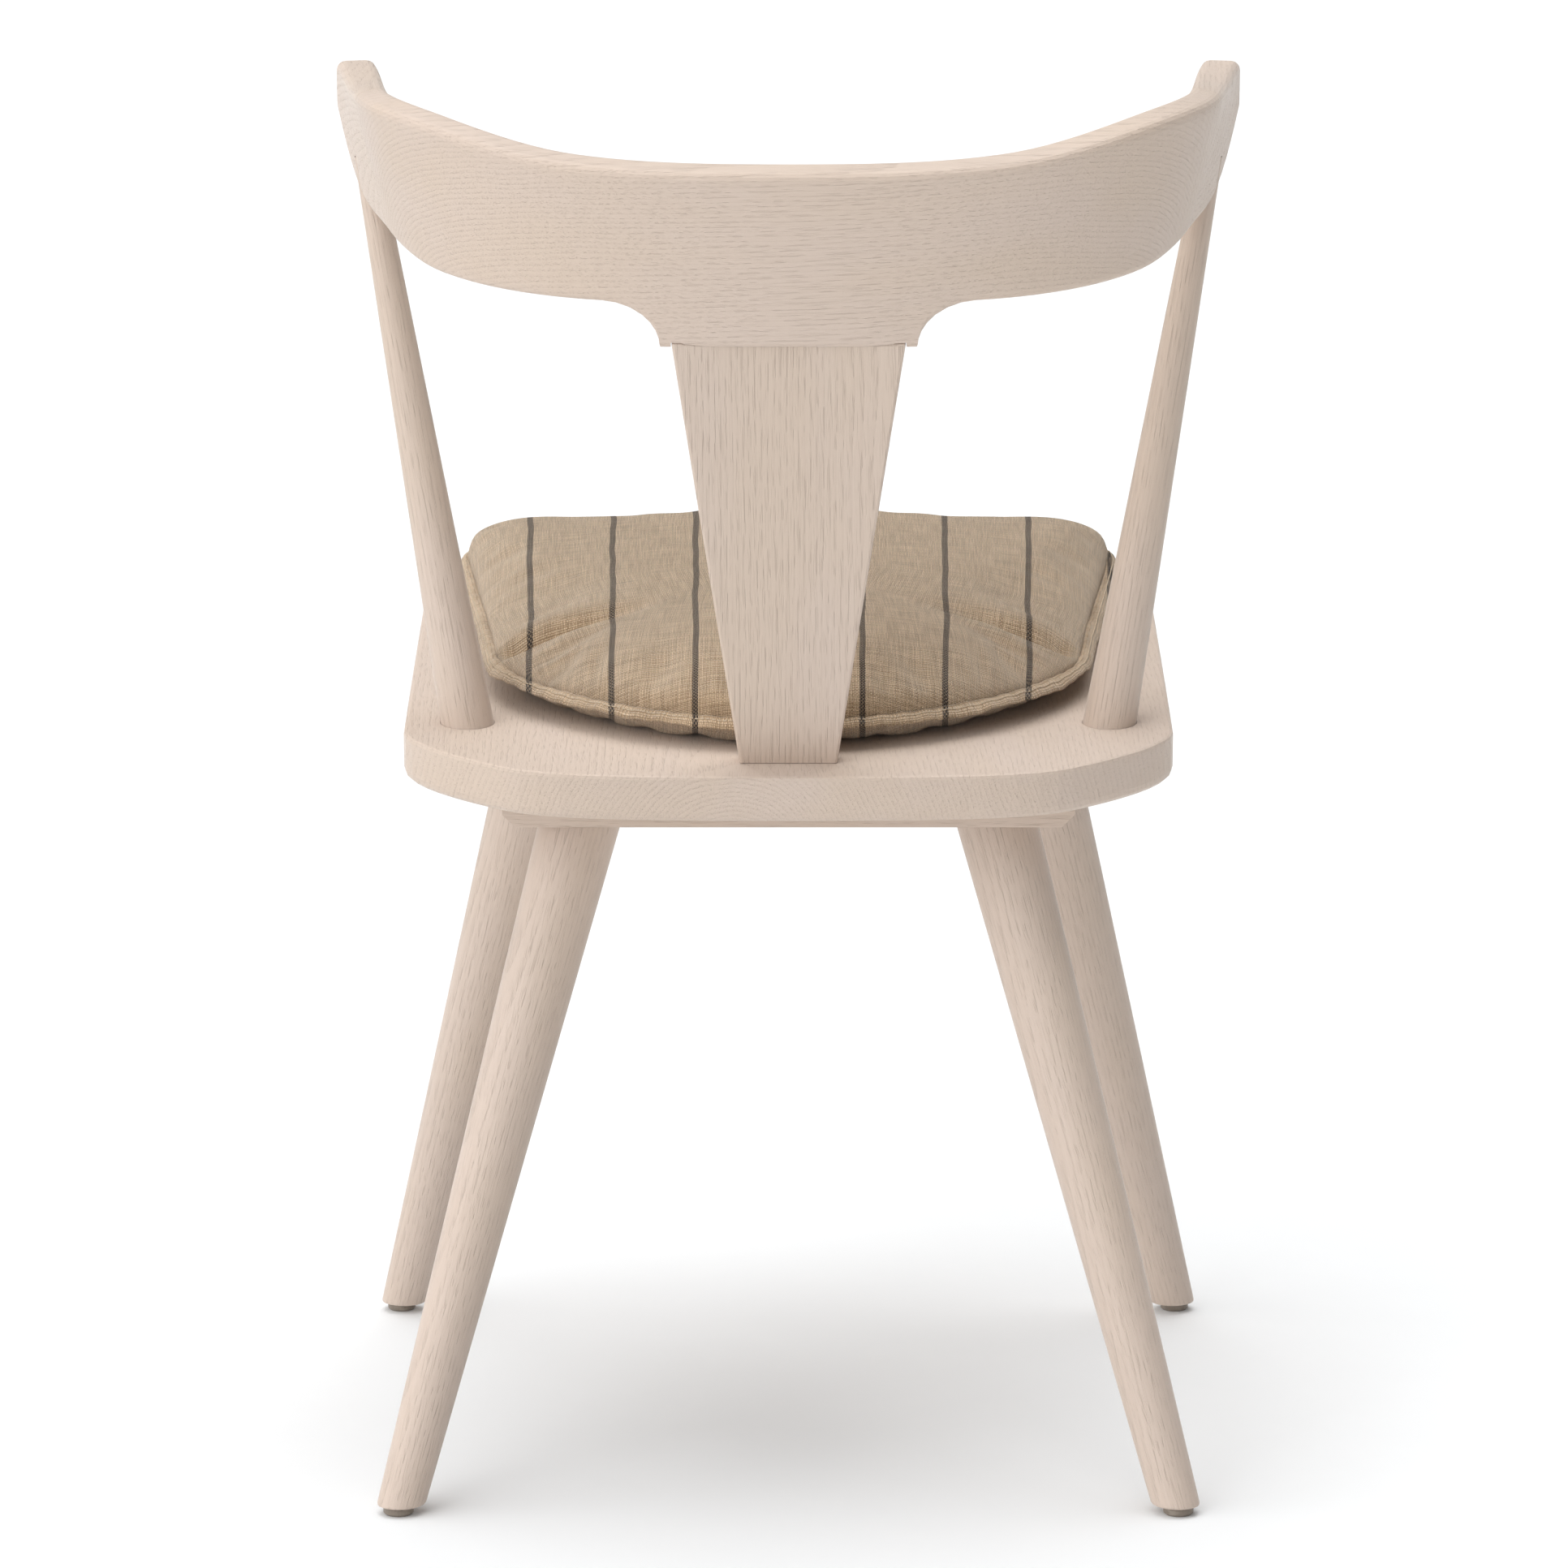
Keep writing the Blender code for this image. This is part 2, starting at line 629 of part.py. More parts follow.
# ---- splat ----
def make_splat(seat, rail):
    """The tapered back board, tenoned into the seat and into the rail's lug."""
    frame, length = splat_frame()
    frame = frame @ Matrix.Translation((0.0, -SPLAT_THICKNESS / 2, 0.0))
    lug_frame = frame @ Matrix.Translation((0.0, 0.0, length))
    below = 0.02
    slope = (SPLAT_HALF_TOP - SPLAT_HALF_BASE) / length
    outline = (
        (-(SPLAT_HALF_BASE - slope * below), -below),
        (SPLAT_HALF_BASE - slope * below, -below),
        (SPLAT_HALF_TOP, length - GAP),
        (-SPLAT_HALF_TOP, length - GAP),
    )
    bm = bmesh.new()
    face = bm.faces.new([bm.verts.new((x, -SPLAT_THICKNESS / 2, z)) for x, z in outline])
    grown = bmesh.ops.extrude_face_region(bm, geom=[face])
    moved = [item for item in grown["geom"] if isinstance(item, bmesh.types.BMVert)]
    bmesh.ops.translate(bm, verts=moved, vec=(0.0, SPLAT_THICKNESS, 0.0))
    splat = add_object("back_splat", mesh_from(bm, "back_splat", smooth=False), OAK, frame)
    soften(splat, 0.0015)

    trim = box("splat_foot_trim", (0.4, 0.4, 0.1), seat_frame(z=GAP - 0.05))
    cut(splat, trim)
    housing = (2 * (SPLAT_HALF_TOP + GAP), SPLAT_THICKNESS + 2 * GAP, 4 * SPLAT_HOUSING)
    cut(rail, box("splat_housing", housing, lug_frame @ Matrix.Translation((0.0, 0.0, -2 * SPLAT_HOUSING))))
    for name, place, half_width in (("foot", frame, 0.020), ("head", lug_frame, 0.050)):
        size = (2 * half_width, TENON_THICKNESS, 2 * TENON_LENGTH)
        clear = tuple(side + 2 * GAP for side in size)
        combine(splat, box(f"splat_{name}_tenon", size, place), "UNION")
        cut(seat if name == "foot" else rail, box(f"splat_{name}_mortise", clear, place))
    return splat


# ---- cushion ----
def crown(ratio):
    """Share of the crown's height at a share of the outline's size."""
    return (1.0 - ratio ** 3.4) ** 0.60


def panel_heights(ratio):
    """Height of the upper and lower panels over the seat at a share of the outline's size."""
    inside = min(1.0, ratio / CUSHION_FLANGE)
    upper = CUSHION_SEAM + COVER_THICKNESS + GAP / 2
    lower = CUSHION_SEAM - COVER_THICKNESS - GAP / 2
    upper += (CUSHION_CROWN - upper) * crown(inside)
    lower -= (lower - GAP) * (1.0 - inside ** 12) ** 0.6
    return upper, lower


def cushion_rings(ratios, which, lift=0.0):
    middle = Vector((0.0, -0.060, 0.0))
    outline = outline_points(CUSHION_OUTLINE)
    rings = []
    for ratio in ratios:
        height = panel_heights(ratio)[which] + lift
        rings.append([middle.lerp(point, ratio) + Vector((0.0, 0.0, height)) for point in outline])
    return rings


def close_middle(bm, row):
    centre = bm.verts.new(sum((v.co for v in row), Vector()) / len(row))
    for i, vert in enumerate(row):
        bm.faces.new((vert, row[(i + 1) % len(row)], centre))


def skin(rings_list):
    """A surface over a list of rings, closed in the middle at its end."""
    bm = bmesh.new()
    rows = [[bm.verts.new(point) for point in ring] for ring in rings_list]
    for low, high in zip(rows, rows[1:]):
        for i in range(len(low)):
            j = (i + 1) % len(low)
            bm.faces.new((low[i], low[j], high[j], high[i]))
    return bm, rows


def make_cushion_cover():
    ratios = (1.0, CUSHION_FLANGE, 0.95, 0.925, 0.885, 0.82, 0.70, 0.50, 0.25)
    for name, which in (("cushion_cover_top", 0), ("cushion_cover_bottom", 1)):
        bm, rows = skin(cushion_rings(ratios, which))
        close_middle(bm, rows[-1])
        if which == 0:
            outward = Vector((0.0, 0.0, 1.0))
        else:
            outward = Vector((0.0, 0.0, -1.0))
        bmesh.ops.recalc_face_normals(bm, faces=bm.faces)
        if bm.faces[0].normal.dot(outward) < 0:
            bmesh.ops.reverse_faces(bm, faces=bm.faces)
        mesh = bpy.data.meshes.new(name)
        bm.to_mesh(mesh)
        bm.free()
        for face in mesh.polygons:
            face.use_smooth = True
        panel = add_object(name, mesh, LINEN, seat_frame())
        thick = panel.modifiers.new("cloth", "SOLIDIFY")
        thick.thickness = COVER_THICKNESS
        thick.offset = -1.0


def make_cushion_insert():
    ratios = [INSERT_SCALE * share for share in (0.25, 0.45, 0.65, 0.80, 0.91, 1.0)]
    upper = cushion_rings(ratios, 0, -INSERT_CLEARANCE)
    lower = cushion_rings(ratios, 1, COVER_THICKNESS + 2 * GAP)
    bm, rows = skin(upper + lower[::-1])
    close_middle(bm, rows[0])
    close_middle(bm, rows[-1])
    add_object("cushion_insert", mesh_from(bm, "cushion_insert"), FIBRE, seat_frame())


# ---- assembly ----
def make_armchair():
    seat = make_seat()
    rear = make_batten("rear_batten", REAR_BATTEN)
    front = make_batten("front_batten", FRONT_BATTEN)
    trims = (floor_block(), batten_underside())
    for end, foot, top, batten in (("rear", REAR_FOOT, REAR_LEG_TOP, rear),
                                   ("front", FRONT_FOOT, FRONT_LEG_TOP, front)):
        for side, sign in SIDES:
            place = mirrored(foot, sign)
            make_leg(f"leg_{end}_{side}", place, mirrored(top, sign), batten, trims)
            make_glide(f"glide_{end}_{side}", place)
            make_nail(f"glide_nail_{end}_{side}", place)
    make_batten_screws(seat, (("rear", rear, REAR_BATTEN), ("front", front, FRONT_BATTEN)))

    line = rail_line()
    rail = make_back_rail(line)
    arms = make_arms(line)
    make_arm_dowels(line, rail, arms)
    make_posts(seat, arms)
    make_splat(seat, rail)
    make_cushion_cover()
    make_cushion_insert()


clear_scene()
PARTS = new_collection("wooden_armchair")
CUTTERS = new_collection("cutters")
make_armchair()
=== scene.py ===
"""A whitewashed oak armchair with a striped linen seat cushion, in a pale studio.

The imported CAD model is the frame. Its wooden parts stay as they are and get a solid
oak grain that runs along each part. The cushion is modelled here: an inflated cover
with a stitched flange, which lies on the seat.
"""

import math

import bpy
import numpy as np
from mathutils import Matrix, Vector
from mathutils.geometry import interpolate_bezier


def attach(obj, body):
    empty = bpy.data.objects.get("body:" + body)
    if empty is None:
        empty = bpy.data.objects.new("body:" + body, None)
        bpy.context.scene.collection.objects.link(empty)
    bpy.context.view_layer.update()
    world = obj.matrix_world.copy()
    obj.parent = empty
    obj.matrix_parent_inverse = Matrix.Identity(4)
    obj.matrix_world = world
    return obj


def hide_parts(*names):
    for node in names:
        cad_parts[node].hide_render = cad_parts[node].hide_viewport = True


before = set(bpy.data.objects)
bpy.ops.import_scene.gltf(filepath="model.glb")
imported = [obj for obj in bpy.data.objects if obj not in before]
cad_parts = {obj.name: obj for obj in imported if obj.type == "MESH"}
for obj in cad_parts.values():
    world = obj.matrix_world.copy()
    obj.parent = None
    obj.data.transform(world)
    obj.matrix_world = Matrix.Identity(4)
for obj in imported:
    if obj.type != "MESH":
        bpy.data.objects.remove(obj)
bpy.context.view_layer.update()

# ---- camera ----
CAMERA_PLACE = (0.00257, 4.274, 1.221)
CAMERA_DIP = math.radians(11.15)
LENS = 167.37
SENSOR = 36.0

# ---- seat plane: its height at the middle, and its slope down to the back ----
SEAT_TOP_Z = 0.441
SEAT_RAKE = math.radians(5.5)

# ---- cushion, in the seat's plane: half outline as (point, handle before, handle after) ----
CUSHION_OUTLINE = (
    ((0.0, 0.152), (-0.085, 0.152), (0.085, 0.152)),
    ((0.181, 0.010), (0.174, 0.078), (0.1875, -0.060)),
    ((0.205, -0.215), (0.2015, -0.165), (0.2080, -0.258)),
    ((0.150, -0.253), (0.185, -0.255), (0.110, -0.252)),
    ((0.0, -0.250), (0.060, -0.250), (-0.060, -0.250)),
)
CUSHION_MIDDLE = -0.060             # where its middle lies, from front to back
CUSHION_CELLS = 84                  # grid cells from one side to the other
SEAM_HEIGHT = 0.018
CROWN_HEIGHT = 0.0512               # before the cover is inflated
CROWN_SAG = 0.0085                  # how much lower the crown is near the sides
REST_GAP = 0.0005
FLANGE_WIDTH = 0.0055
FLANGE_THICKNESS = 0.0026
FLANGE_DROOP = 0.0042
SIMULATED_FRAMES = 20
GREATEST_SWELL = 0.0045
FOLD_DEPTH = 0.0170
FOLD_ANGLES = (24.0, 156.0)         # the rear corners, seen from the middle

STITCH_PITCH = 0.0034
STITCH_LENGTH = 0.0026
STITCH_RADIUS = 0.00042

STRIPE_SPACING = 0.0495
STRIPE_WIDTH = 0.0035
STRIPE_OFFSET = 0.0055
THREAD_PITCH = 0.00105


# ---- node trees ----
class Finish:
    """A node material under construction."""

    def __init__(self, name):
        self.material = bpy.data.materials.new(name)
        self.material.use_nodes = True
        self.tree = self.material.node_tree
        self.tree.nodes.clear()

    def add(self, kind, inputs, **settings):
        node = self.tree.nodes.new("ShaderNode" + kind)
        for key, value in settings.items():
            setattr(node, key, value)
        for key, value in inputs.items():
            if isinstance(value, bpy.types.NodeSocket):
                self.tree.links.new(value, node.inputs[key])
            else:
                node.inputs[key].default_value = value
        return node

    def math(self, operation, *values, clamp=False):
        inputs = dict(enumerate(values))
        return self.add("Math", inputs, operation=operation, use_clamp=clamp).outputs[0]

    def scaled(self, vector, factors):
        inputs = {0: vector, 1: factors}
        return self.add("VectorMath", inputs, operation="MULTIPLY").outputs[0]

    def noise(self, vector, factors, detail=2.0, roughness=0.5):
        inputs = {"Vector": self.scaled(vector, factors), "Scale": 1.0}
        inputs.update({"Detail": detail, "Roughness": roughness})
        return self.add("TexNoise", inputs).outputs["Fac"]

    def span(self, value, low, high, to_low=0.0, to_high=1.0):
        """The value's span from low to high, spread smoothly over the other span."""
        inputs = {"Value": value, "From Min": low, "From Max": high}
        inputs.update({"To Min": to_low, "To Max": to_high})
        return self.add("MapRange", inputs, interpolation_type="SMOOTHSTEP").outputs["Result"]

    def mix(self, factor, first, second):
        node = self.tree.nodes.new("ShaderNodeMix")
        node.data_type = "RGBA"
        for index, value in ((0, factor), (6, first), (7, second)):
            if isinstance(value, bpy.types.NodeSocket):
                self.tree.links.new(value, node.inputs[index])
            elif index:
                node.inputs[index].default_value = (*value, 1.0)
            else:
                node.inputs[index].default_value = value
        return node.outputs[2]

    def shade(self, colour, roughness, height, depth, **settings):
        """Closes the tree with a shader whose surface is raised by height times depth."""
        bump = self.add("Bump", {"Height": height, "Strength": 1.0, "Distance": depth})
        inputs = {"Base Color": colour, "Roughness": roughness, "Normal": bump.outputs[0]}
        inputs.update(settings)
        shader = self.add("BsdfPrincipled", inputs)
        self.add("OutputMaterial", {"Surface": shader.outputs[0]})
        return self.material


# ---- oak ----
OAK_LIGHT = (0.645, 0.530, 0.452)
OAK_WARM = (0.640, 0.520, 0.425)
OAK_RING = (0.560, 0.445, 0.365)
OAK_PORE = (0.380, 0.295, 0.235)
RING_SPACING = 0.0030


def longest_direction(node):
    """A CAD part's middle and the direction in which it is longest."""
    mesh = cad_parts[node].data
    places = np.array([v.co for v in mesh.vertices])
    middle = places.mean(0)
    axis = np.linalg.svd(places - middle, full_matrices=False)[2][0]
    if axis[np.argmax(np.abs(axis))] < 0:
        axis = -axis
    return Vector(middle), Vector(axis)


def grain_frame(middle, along, facing, pith, slant):
    """Where a part was cut from the log: x runs along the grain and the pith is at y = z = 0."""
    x = Vector(along).normalized()
    z = (Vector(facing) - x * x.dot(Vector(facing))).normalized()
    y = z.cross(x)
    turn = Matrix((x, y, z)).transposed()
    turn = turn @ Matrix.Rotation(math.radians(slant[0]), 3, "Y")
    turn = turn @ Matrix.Rotation(math.radians(slant[1]), 3, "Z")
    place = Vector(middle) - turn @ Vector((0.0, pith[0], pith[1]))
    return place, turn.to_euler()


def oak(name, place, turn, shade=1.0):
    """Whitewashed oak: growth rings round the pith, pores as short dashes, and a chalky bloom."""
    f = Finish(name)
    source = f.add("TexCoord", {}).outputs["Object"]
    inputs = {"Vector": source, "Location": place, "Rotation": turn}
    grain = f.add("Mapping", inputs, vector_type="TEXTURE").outputs[0]

    wander = f.noise(grain, (3.0, 11.0, 11.0), detail=2.0)
    quiver = f.noise(grain, (9.0, 70.0, 70.0), detail=1.0)
    across = f.scaled(grain, (0.0, 1.0, 1.0))
    radius = f.add("VectorMath", {0: across}, operation="LENGTH").outputs["Value"]
    radius = f.math("MULTIPLY_ADD", wander, 0.016, radius)
    radius = f.math("MULTIPLY_ADD", quiver, 0.0016, radius)
    phase = f.math("FRACT", f.math("DIVIDE", radius, RING_SPACING))
    early = f.math("POWER", f.math("SUBTRACT", 1.0, phase), 2.2)

    fibre = f.noise(grain, (22.0, 520.0, 520.0), detail=2.0, roughness=0.6)
    dashes = f.span(f.noise(grain, (80.0, 1700.0, 1700.0), detail=0.0), 0.57, 0.72)
    strays = f.span(f.noise(grain, (45.0, 1200.0, 1200.0), detail=0.0), 0.66, 0.78)
    in_rings = f.math("MULTIPLY", dashes, f.math("MULTIPLY_ADD", early, 1.05, 0.10), clamp=True)
    pores = f.math("MAXIMUM", in_rings, f.math("MULTIPLY", strays, 0.55))

    light, warm, ring = (tuple(c * shade for c in tone) for tone in (OAK_LIGHT, OAK_WARM, OAK_RING))
    cloud = f.span(f.noise(grain, (5.0, 18.0, 18.0), detail=2.0), 0.30, 0.70)
    colour = f.mix(cloud, light, warm)
    ring_tone = f.math("MULTIPLY_ADD", fibre, 0.42, f.math("MULTIPLY", early, 0.26))
    colour = f.mix(f.math("SUBTRACT", ring_tone, 0.12, clamp=True), colour, ring)
    colour = f.mix(f.math("MULTIPLY", pores, 0.22), colour, OAK_PORE)

    roughness = f.math("MULTIPLY_ADD", pores, 0.15, f.math("MULTIPLY_ADD", fibre, 0.16, 0.50))
    height = f.math("MULTIPLY_ADD", fibre, 0.35, f.math("MULTIPLY", early, -0.25))
    height = f.math("MULTIPLY_ADD", pores, -1.0, height)
    return f.shade(colour, roughness, height, 0.00022, **{
        "Specular IOR Level": 0.5,
        "Sheen Weight": 0.38,
        "Sheen Roughness": 0.35,
        "Sheen Tint": (1.0, 0.98, 0.96, 1.0),
    })


def dress(node, material):
    """Puts a material in every slot of a CAD part."""
    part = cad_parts[node]
    for place in part.material_slots:
        place.link = "OBJECT"
        place.material = material


def dress_oak(node, material, along, facing, pith, slant, shade=1.0):
    """Gives a wooden part its own oak; without a direction, the grain runs along the part."""
    middle, longest = longest_direction(node)
    dress(node, oak(material, *grain_frame(middle, along or longest, facing, pith, slant), shade=shade))


def dress_wood():
    across = (1, 0, 0)
    deep = (0, 1, 0)
    up = (0, 0, 1)
    dress_oak("seat", "oak_seat", deep, up, (0.04, 0.055), (2.0, 1.5))
    dress_oak("back_rail", "oak_rail", across, up, (-0.035, 0.150), (2.4, 1.0))
    dress_oak("back_splat", "oak_splat", None, deep, (0.068, 0.036), (0.8, 1.2))
    for side, sign in (("left", 1), ("right", -1)):
        dress_oak("arm_" + side, "oak_arm_" + side, deep, (sign, 0, 0), (0.03, 0.05), (3.0, 1.0))
    turned = [f"leg_{end}_{side}" for end in ("rear", "front") for side in ("left", "right")]
    turned += ["post_left", "post_right"]
    for index, node in enumerate(turned):
        pith = (0.030 + 0.006 * index, 0.055 - 0.005 * index)
        shade = 1.0 - 0.012 * (index % 3)
        dress_oak(node, "oak_" + node, None, (0.6, 0.8, 0), pith, (0.8, 1.2), shade)
    for index, node in enumerate(("rear_batten", "front_batten")):
        dress_oak(node, "oak_" + node, across, up, (0.02, 0.06), (1.0, 2.0 + index))


# ---- small hardware ----
def nylon():
    f = Finish("glide_nylon")
    source = f.add("TexCoord", {}).outputs["Object"]
    speckle = f.noise(source, (900.0, 900.0, 900.0), detail=3.0)
    scuff = f.span(f.noise(source, (120.0, 120.0, 400.0), detail=4.0), 0.45, 0.75)
    colour = f.mix(scuff, (0.250, 0.205, 0.165), (0.340, 0.290, 0.240))
    roughness = f.math("MULTIPLY_ADD", scuff, 0.20, 0.42)
    return f.shade(colour, roughness, speckle, 0.00008)


def steel():
    f = Finish("zinc_steel")
    source = f.add("TexCoord", {}).outputs["Object"]
    turned = f.noise(source, (300.0, 300.0, 2600.0), detail=2.0)
    bloom = f.span(f.noise(source, (240.0, 240.0, 240.0), detail=3.0), 0.35, 0.70)
    colour = f.mix(bloom, (0.560, 0.565, 0.570), (0.430, 0.435, 0.445))
    roughness = f.math("MULTIPLY_ADD", bloom, 0.22, 0.26)
    return f.shade(colour, roughness, turned, 0.00004, Metallic=1.0)


def beech():
    f = Finish("dowel_beech")
    source = f.add("TexCoord", {}).outputs["Object"]
    fibre = f.noise(source, (420.0, 420.0, 60.0), detail=2.0)
    flecks = f.span(f.noise(source, (900.0, 900.0, 260.0), detail=0.0), 0.58, 0.72)
    colour = f.mix(fibre, (0.640, 0.460, 0.290), (0.520, 0.350, 0.200))
    colour = f.mix(f.math("MULTIPLY", flecks, 0.5), colour, (0.380, 0.230, 0.120))
    roughness = f.math("MULTIPLY_ADD", fibre, 0.2, 0.5)
    return f.shade(colour, roughness, fibre, 0.0001)


def dress_hardware():
    made = {"glide": nylon(), "steel": steel(), "dowel": beech()}
    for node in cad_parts:
        if node.startswith("glide_nail") or "screw" in node:
            dress(node, made["steel"])
        elif node.startswith("glide"):
            dress(node, made["glide"])
        elif "dowel" in node:
            dress(node, made["dowel"])


# ---- linen ----
LINEN_LIGHT = (0.850, 0.640, 0.435)
LINEN_DARK = (0.390, 0.268, 0.160)
LINEN_SHADOW = (0.100, 0.060, 0.030)
LINEN_PATCH = (0.640, 0.465, 0.305)
STRIPE_DARK = (0.012, 0.011, 0.014)
CHECK_PITCH = 0.0021                # the weave's squares inside a stripe


def linen(name, shift):
    """Plain-weave linen with thin charcoal stripes from front to back."""
    f = Finish(name)
    cloth = f.add("UVMap", {}, uv_map="weave").outputs["UV"]
    place = f.add("TexCoord", {}).outputs["Object"]
    threads = f.scaled(cloth, (1.0 / THREAD_PITCH, 1.0 / THREAD_PITCH, 0.0))
    waver = f.noise(cloth, (90.0, 90.0, 0.0), detail=2.0)
    parts = f.add("SeparateXYZ", {"Vector": threads}).outputs
    warp = f.math("MULTIPLY_ADD", waver, 0.8, parts["X"])
    weft = f.math("MULTIPLY_ADD", waver, 0.8, parts["Y"])
    warp_wave = f.math("SINE", f.math("MULTIPLY", warp, math.pi))
    weft_wave = f.math("SINE", f.math("MULTIPLY", weft, math.pi))
    crossing = f.math("MULTIPLY", warp_wave, weft_wave)
    over = f.span(crossing, -0.5, 0.5)

    slub_along = f.span(f.noise(cloth, (800.0, 34.0, 0.0), detail=2.0), 0.30, 0.70)
    slub_across = f.span(f.noise(cloth, (34.0, 800.0, 0.0), detail=2.0), 0.30, 0.70)
    slub = f.add("Mix", {0: over, 2: slub_along, 3: slub_across}, data_type="FLOAT").outputs[0]
    # painted shade: the gaps between warp and weft threads are darkened towards LINEN_SHADOW, standing
    # in for the shade that falls inside the weave
    weave_gap_shade = f.math("POWER", f.math("SUBTRACT", 1.0, f.math("ABSOLUTE", crossing)), 3.0)

    patch = f.span(f.noise(place, (16.0, 22.0, 16.0), detail=3.0), 0.30, 0.70)
    colour = f.mix(slub, LINEN_DARK, LINEN_LIGHT)
    colour = f.mix(f.math("MULTIPLY", patch, 0.18), colour, LINEN_PATCH)
    colour = f.mix(f.math("MULTIPLY", weave_gap_shade, 0.65), colour, LINEN_SHADOW)

    spot = f.add("SeparateXYZ", {"Vector": place}).outputs
    drift = f.math("MULTIPLY_ADD", f.noise(place, (9.0, 14.0, 0.0), detail=1.0), 0.004, -0.002)
    run = f.math("MULTIPLY_ADD", spot["X"], f.math("MULTIPLY_ADD", spot["Y"], 0.20, 1.0), drift)
    run = f.math("SUBTRACT", run, STRIPE_OFFSET + shift)
    nearest = f.math("WRAP", run, STRIPE_SPACING / 2, -STRIPE_SPACING / 2)
    edge = STRIPE_WIDTH / 2
    inside = f.span(f.math("ABSOLUTE", nearest), edge + 0.0002, edge - 0.0002)
    columns = f.math("SINE", f.math("MULTIPLY", nearest, math.tau / CHECK_PITCH))
    check = f.math("MULTIPLY", columns, weft_wave)
    woven = f.span(check, -0.42, -0.05, 1.0, 0.0)
    solid = f.math("MULTIPLY_ADD", woven, 0.36, 0.64)
    stripe = f.math("MULTIPLY", inside, solid)
    colour = f.mix(stripe, colour, STRIPE_DARK)

    roughness = f.math("MULTIPLY_ADD", slub, -0.10, 0.93)
    height = f.math("MULTIPLY_ADD", f.math("ABSOLUTE", crossing), 0.8, f.math("MULTIPLY", slub, 0.35))
    return f.shade(colour, roughness, height, 0.00065, **{
        "Specular IOR Level": 0.12,
        "Sheen Weight": f.math("MULTIPLY_ADD", stripe, -0.42, 0.70),
        "Sheen Roughness": 0.36,
        "Sheen Tint": (1.0, 0.95, 0.88, 1.0),
    })


def thread():
    f = Finish("stitch_thread")
    source = f.add("TexCoord", {}).outputs["Object"]
    ply = f.noise(source, (1400.0, 1400.0, 1400.0), detail=2.0)
    colour = f.mix(ply, (0.460, 0.360, 0.250), (0.640, 0.530, 0.400))
    roughness = f.math("MULTIPLY_ADD", ply, 0.15, 0.72)
    return f.shade(colour, roughness, ply, 0.0002)


# ---- cushion ----
def seat_plane():
    return Matrix.Translation((0.0, 0.0, SEAT_TOP_Z)) @ Matrix.Rotation(-SEAT_RAKE, 4, "X")


def cushion_reach(inset):
    """A function from direction to the outline's distance from the cushion's middle."""
    half = []
    for (start, _, leave), (end, arrive, _) in zip(CUSHION_OUTLINE[:-1], CUSHION_OUTLINE[1:]):
        corners = (Vector((*p, 0.0)) for p in (start, leave, arrive, end))
        half.extend(interpolate_bezier(*corners, 24)[:-1])
    half.append(Vector((*CUSHION_OUTLINE[-1][0], 0.0)))
    half = np.array(half)[:, :2]
    whole = np.vstack([half, half[-2:0:-1] * (-1.0, 1.0)])
    offset = whole - (0.0, CUSHION_MIDDLE)
    angle = np.arctan2(offset[:, 1], offset[:, 0])
    distance = np.hypot(offset[:, 0], offset[:, 1]) - inset
    order = np.argsort(angle)
    angle = angle[order]
    distance = distance[order]

    def reach(direction):
        return np.interp(direction, angle, distance, period=math.tau)

    return reach


def fold(ratio, direction):
    """How far the cover dips along the crease that runs in from each rear corner."""
    total = np.zeros_like(ratio)
    for angle, share in zip(FOLD_ANGLES, (1.0, 0.7)):
        bend = math.radians(angle) + (1.0 - ratio) * (0.55 if angle < 90 else -0.55)
        across = (direction - bend) * np.maximum(ratio, 0.3)
        along = np.clip((ratio - 0.50) / 0.30, 0.0, 1.0) * np.clip((1.0 - ratio) / 0.05, 0.0, 1.0)
        total += share * along * np.exp(-(across / 0.055) ** 2)
    return total


def arc_length(points, axis):
    """Distance along the cloth from the cushion's middle line."""
    steps = np.linalg.norm(np.diff(points, axis=axis), axis=2)
    total = np.cumsum(steps, axis=axis)
    zero = np.zeros_like(np.take(total, [0], axis=axis))
    total = np.concatenate([zero, total], axis=axis)
    return total - np.take(total, [CUSHION_CELLS // 2], axis=axis)


def cushion_panels():
    """The grid of points of the top and bottom panels, in the seat's plane."""
    line = np.linspace(-1.0, 1.0, CUSHION_CELLS + 1)
    a, b = np.meshgrid(line, line, indexing="ij")
    step = np.maximum(np.abs(a), np.abs(b))
    ratio = 1.28 * step - 0.28 * step ** 2
    direction = np.arctan2(b, a)
    distance = ratio * cushion_reach(FLANGE_WIDTH)(direction)
    x = distance * np.cos(direction)
    y = distance * np.sin(direction) + CUSHION_MIDDLE
    forward = np.clip(-np.sin(direction) * 1.6, 0.0, 1.0)
    rise = (1.0 - ratio ** (5.4 + 3.6 * forward)) ** (0.50 - 0.08 * forward)
    crown = CROWN_HEIGHT - CROWN_SAG * np.clip((np.abs(x) - 0.045) / 0.09, 0.0, 1.0)
    top = SEAM_HEIGHT + (crown - SEAM_HEIGHT) * rise
    bottom = SEAM_HEIGHT - (SEAM_HEIGHT - REST_GAP) * (1.0 - ratio ** 30) ** 0.5
    return np.dstack([x, y, top]), np.dstack([x, y, bottom]), ratio, direction


